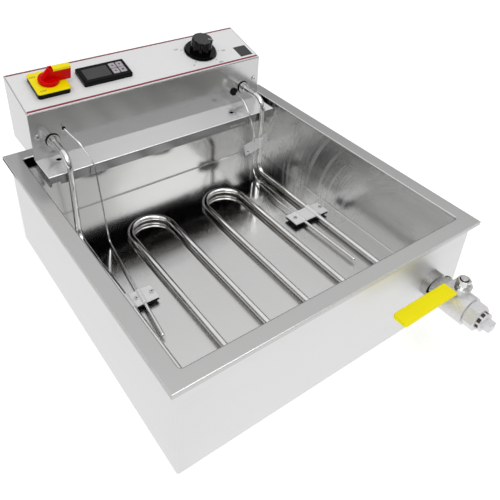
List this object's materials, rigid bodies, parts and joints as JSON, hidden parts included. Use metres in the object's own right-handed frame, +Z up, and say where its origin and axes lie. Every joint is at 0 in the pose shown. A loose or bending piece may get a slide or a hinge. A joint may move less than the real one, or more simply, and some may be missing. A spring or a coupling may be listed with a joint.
{
  "type": "funnel cake fryer",
  "caption": "Countertop fryer pan with a lift-off control head, an immersed serpentine heating element with sensor bulbs, and a drain ball valve with a lever.",
  "frame": {"origin": "middle of the underside of the whole part, on the surface it stands on", "axes": "+Z up, -Y towards the front with the drain valve, +X to the right"},
  "size_m": [0.48, 0.6462, 0.2834],
  "materials": {
    "stainless_sheet": "brushed stainless sheet, satin",
    "polished_tube": "bright drawn stainless tube and strip",
    "bright_hardware": "bright stainless fasteners and turned pieces",
    "cast_stainless": "bead-blasted stainless casting",
    "white_seal": "white fluoropolymer seal",
    "black_rubber": "black rubber",
    "yellow_vinyl": "soft yellow vinyl sleeve",
    "black_coated_steel": "black coated sheet",
    "printed_overlay": "printed pale grey overlay with dark red stripes",
    "black_plastic": "moulded black plastic",
    "gloss_black_plastic": "glossy moulded black plastic",
    "yellow_plastic": "glossy yellow plastic",
    "red_plastic": "glossy red plastic",
    "smoked_window": "smoked grey display window",
    "grey_keys": "light grey moulded keys"
  },
  "bodies": {
    "pan": {"tank": "stainless_sheet", "outer_casing": "stainless_sheet", "base_plate": "stainless_sheet", "foot_front_left": "black_rubber", "foot_front_right": "black_rubber", "foot_back_left": "black_rubber", "foot_back_right": "black_rubber", "foot_screws": "bright_hardware", "drain_coupling": "cast_stainless", "drain_nipple": "cast_stainless", "valve_body": "cast_stainless", "valve_end_cap": "cast_stainless", "valve_seats": "white_seal", "packing_ring": "white_seal", "drain_plug": "cast_stainless"},
    "lever": {"valve_ball": "cast_stainless", "valve_stem": "bright_hardware", "valve_lever": "bright_hardware", "lever_sleeve": "yellow_vinyl", "lever_lock_plate": "black_coated_steel", "lever_washer": "bright_hardware", "lever_nut": "bright_hardware"},
    "head": {"head_shell": "stainless_sheet", "head_back_cover": "stainless_sheet", "head_bottom_plate": "stainless_sheet", "panel_overlay": "printed_overlay", "shelf": "stainless_sheet", "heating_element": "polished_tube", "element_gaskets": "black_rubber", "capillary_left": "polished_tube", "capillary_right": "polished_tube", "sensor_bulb_left": "polished_tube", "sensor_bulb_right": "polished_tube", "element_fitting_left": "bright_hardware", "element_fitting_right": "bright_hardware", "bulb_clamp_left": "polished_tube", "bulb_clamp_right": "polished_tube", "clamp_base_left": "polished_tube", "clamp_base_right": "polished_tube", "clamp_screws": "bright_hardware", "leg_clip": "polished_tube", "capillary_grommets": "black_rubber", "switch_base": "black_plastic", "switch_plate": "yellow_plastic", "switch_body": "black_plastic", "controller_case": "black_plastic", "controller_window": "smoked_window", "thermostat_body": "black_plastic", "terminal_block": "black_plastic", "cord_gland": "black_plastic", "head_screws": "bright_hardware"},
    "switch": {"switch_handle": "red_plastic", "switch_insert": "yellow_plastic", "switch_shaft": "bright_hardware"},
    "knob": {"thermostat_knob": "gloss_black_plastic", "thermostat_shaft": "bright_hardware"},
    "key_1": {"controller_key_1": "grey_keys"},
    "key_2": {"controller_key_2": "grey_keys"},
    "key_3": {"controller_key_3": "grey_keys"},
    "key_4": {"controller_key_4": "grey_keys"}
  },
  "joints": [
    {"name": "head_lift", "type": "slide", "parent": "pan", "child": "head", "axis": [0, 0, 1], "range_m": [0, 0.18]},
    {"name": "lever_turn", "type": "hinge", "parent": "pan", "child": "lever", "pos_m": [0.168, -0.2691, 0.081], "axis": [0, 0, 1], "range_deg": [0, 90]},
    {"name": "switch_turn", "type": "hinge", "parent": "head", "child": "switch", "pos_m": [-0.1535, 0.27033, 0.24941], "axis": [0, -0.2689, 0.9632], "range_deg": [0, 90]},
    {"name": "knob_turn", "type": "hinge", "parent": "head", "child": "knob", "pos_m": [0.112, 0.26937, 0.24914], "axis": [0, -0.2689, 0.9632], "range_deg": [-270, 0]},
    {"name": "key_1_press", "type": "slide", "parent": "head", "child": "key_1", "axis": [0, 0.2689, -0.9632], "range_m": [0, 0.0008], "stiffness_N_per_m": 400},
    {"name": "key_2_press", "type": "slide", "parent": "head", "child": "key_2", "axis": [0, 0.2689, -0.9632], "range_m": [0, 0.0008], "stiffness_N_per_m": 400},
    {"name": "key_3_press", "type": "slide", "parent": "head", "child": "key_3", "axis": [0, 0.2689, -0.9632], "range_m": [0, 0.0008], "stiffness_N_per_m": 400},
    {"name": "key_4_press", "type": "slide", "parent": "head", "child": "key_4", "axis": [0, 0.2689, -0.9632], "range_m": [0, 0.0008], "stiffness_N_per_m": 400}
  ]
}
